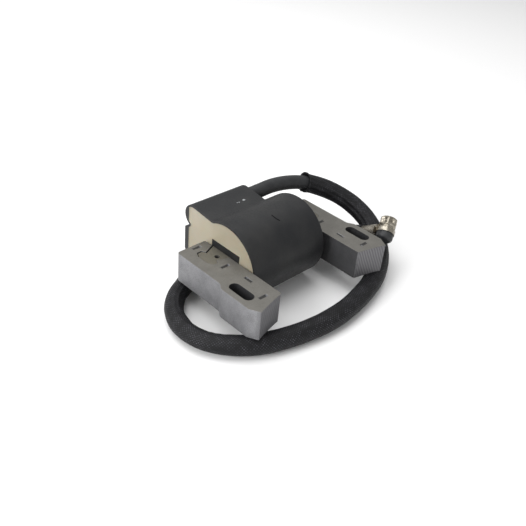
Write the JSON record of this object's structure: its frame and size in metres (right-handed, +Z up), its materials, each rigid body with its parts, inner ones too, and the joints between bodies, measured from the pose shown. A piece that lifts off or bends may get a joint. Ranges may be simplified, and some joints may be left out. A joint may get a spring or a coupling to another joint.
{
  "type": "ignition coil",
  "caption": "Small-engine ignition coil: potted coil housing on a two-legged laminated core, with a sleeved high-tension lead and spark plug terminal.",
  "frame": {"origin": "middle of the underside of the coil without its lead, on the surface that it lies on", "axes": "+X along the coil axis towards the closed end of the housing, -Y towards the pole faces, +Z up, away from the engine bosses"},
  "size_m": [0.1335, 0.0851, 0.04],
  "materials": {
    "lamination_steel": "satin",
    "housing_plastic": "fine moulded grain",
    "potting_resin": "satin cast resin",
    "bobbin_plastic": "moulded",
    "copper_wire": "enamelled copper",
    "board_laminate": "glass epoxy board",
    "component_epoxy": "matt",
    "plated_brass": "tin plated",
    "lead_core": "stranded core",
    "lead_rubber": "smooth satin",
    "sleeve_braid": "fine braid",
    "plated_steel": "nickel plated, used"
  },
  "bodies": {
    "root": {"left_leg_laminations": "lamination_steel", "right_leg_laminations": "lamination_steel", "core_bar_laminations": "lamination_steel", "housing_shell": "housing_plastic", "potting_compound": "potting_resin", "primary_bobbin": "bobbin_plastic", "secondary_bobbin": "bobbin_plastic", "primary_winding": "copper_wire", "secondary_winding": "copper_wire", "primary_leads": "copper_wire", "high_tension_link": "copper_wire", "circuit_board": "board_laminate", "switching_transistor": "component_epoxy", "trigger_chip": "component_epoxy", "flyback_diode": "component_epoxy", "module_resistors": "component_epoxy", "ground_strap": "plated_brass", "kill_terminal": "plated_brass", "high_tension_spike": "plated_brass", "lead_conductor": "lead_core", "lead_insulation": "lead_rubber", "braided_sleeve": "sleeve_braid", "terminal_barrel": "plated_steel", "terminal_collar": "plated_steel", "terminal_cap": "plated_steel", "terminal_insulator": "lead_rubber"}
  },
  "joints": []
}
